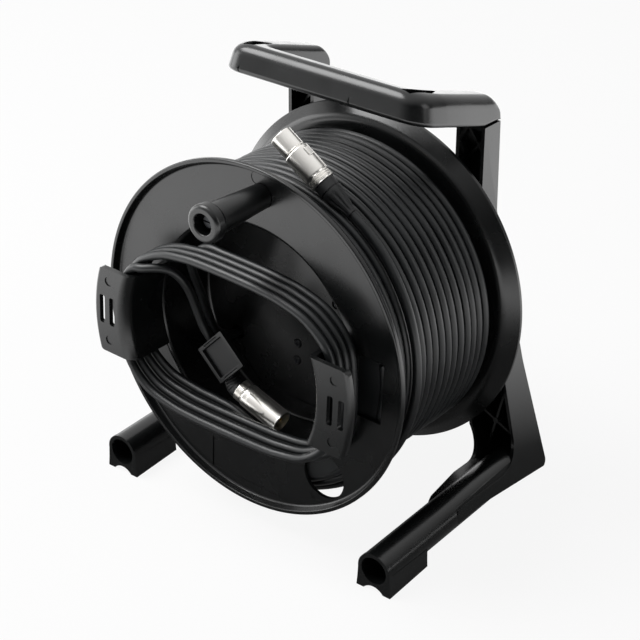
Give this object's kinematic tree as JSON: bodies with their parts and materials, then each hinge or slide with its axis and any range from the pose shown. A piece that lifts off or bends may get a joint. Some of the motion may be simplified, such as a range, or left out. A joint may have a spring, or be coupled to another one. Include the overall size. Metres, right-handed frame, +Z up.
{
  "type": "xlr cable reel",
  "caption": "Hand-wound reel for a long microphone cable: a drum with a crank knob turns on a leaning carrying frame, and the cable's spare end hangs in loops round cleats on the drum's face.",
  "frame": {"origin": "centre of the footprint on the ground, under the middle of the reel without its loose cable ends", "axes": "+Z up, -Y towards the side with the crank knob, X across the reel"},
  "size_m": [0.2888, 0.2512, 0.3493],
  "materials": {
    "frame_plastic": "satin black moulded polypropylene",
    "drum_plastic": "satin black moulded polypropylene",
    "grip_plastic": "matt black",
    "lead_jacket": "matt black cable jacket",
    "boot_rubber": "matt black",
    "plug_nickel": "satin nickel plate",
    "axle_steel": "zinc plated",
    "bush_nylon": "natural nylon",
    "contact_gold": "gold plate"
  },
  "bodies": {
    "frame": {"side_frame_left": "frame_plastic", "side_frame_right": "frame_plastic", "foot_tube_left": "frame_plastic", "foot_tube_right": "frame_plastic", "handle": "frame_plastic", "hub_plate": "frame_plastic", "frame_bolt_upper_left": "axle_steel", "frame_bolt_lower_left": "axle_steel", "frame_bolt_upper_right": "axle_steel", "frame_bolt_lower_right": "axle_steel", "handle_bolt_left": "axle_steel", "handle_bolt_right": "axle_steel", "front_bush": "bush_nylon", "rear_bush": "bush_nylon"},
    "drum": {"front_drum_half": "drum_plastic", "rear_drum_half": "drum_plastic", "drum_screw_1": "axle_steel", "drum_screw_2": "axle_steel", "drum_screw_3": "axle_steel", "drum_screw_4": "axle_steel", "drum_screw_5": "axle_steel", "drum_screw_6": "axle_steel", "cleat_left": "drum_plastic", "cleat_right": "drum_plastic", "crank_pin": "axle_steel", "knob_screw": "axle_steel", "drum_axle": "axle_steel", "thrust_washer": "axle_steel", "brake_disc": "bush_nylon", "winding_core": "lead_jacket", "winding_outer_layer": "lead_jacket", "spare_feed": "lead_jacket", "spare_loops": "lead_jacket", "plug_tail": "lead_jacket", "label_tag": "grip_plastic", "male_boot": "boot_rubber", "male_shell": "plug_nickel", "male_insert": "grip_plastic", "male_pin_1": "contact_gold", "male_pin_2": "contact_gold", "male_pin_3": "contact_gold", "female_tail": "lead_jacket", "female_boot": "boot_rubber", "female_shell": "plug_nickel", "female_insert": "grip_plastic", "female_contact_1": "contact_gold", "female_contact_2": "contact_gold", "female_contact_3": "contact_gold"},
    "knob": {"crank_knob": "grip_plastic"},
    "brake": {"brake_knob": "grip_plastic"},
    "latch": {"female_latch": "plug_nickel"}
  },
  "joints": [
    {"name": "drum_spin", "type": "hinge", "parent": "frame", "child": "drum", "pos_m": [0, -0.07527, 0.1625], "axis": [0, 0.9974, -0.072], "continuous": true},
    {"name": "knob_spin", "type": "hinge", "parent": "drum", "child": "knob", "pos_m": [0.00792, -0.06669, 0.28143], "axis": [0, 0.9974, -0.072], "continuous": true},
    {"name": "brake_turn", "type": "hinge", "parent": "drum", "child": "brake", "pos_m": [0, 0.11423, 0.14882], "axis": [0, 0.9974, -0.072], "range_deg": [0, 120]},
    {"name": "latch_press", "type": "slide", "parent": "drum", "child": "latch", "axis": [-0.5687, -0.0772, -0.8189], "range_m": [0, 0.0012], "stiffness_N_per_m": 800}
  ]
}
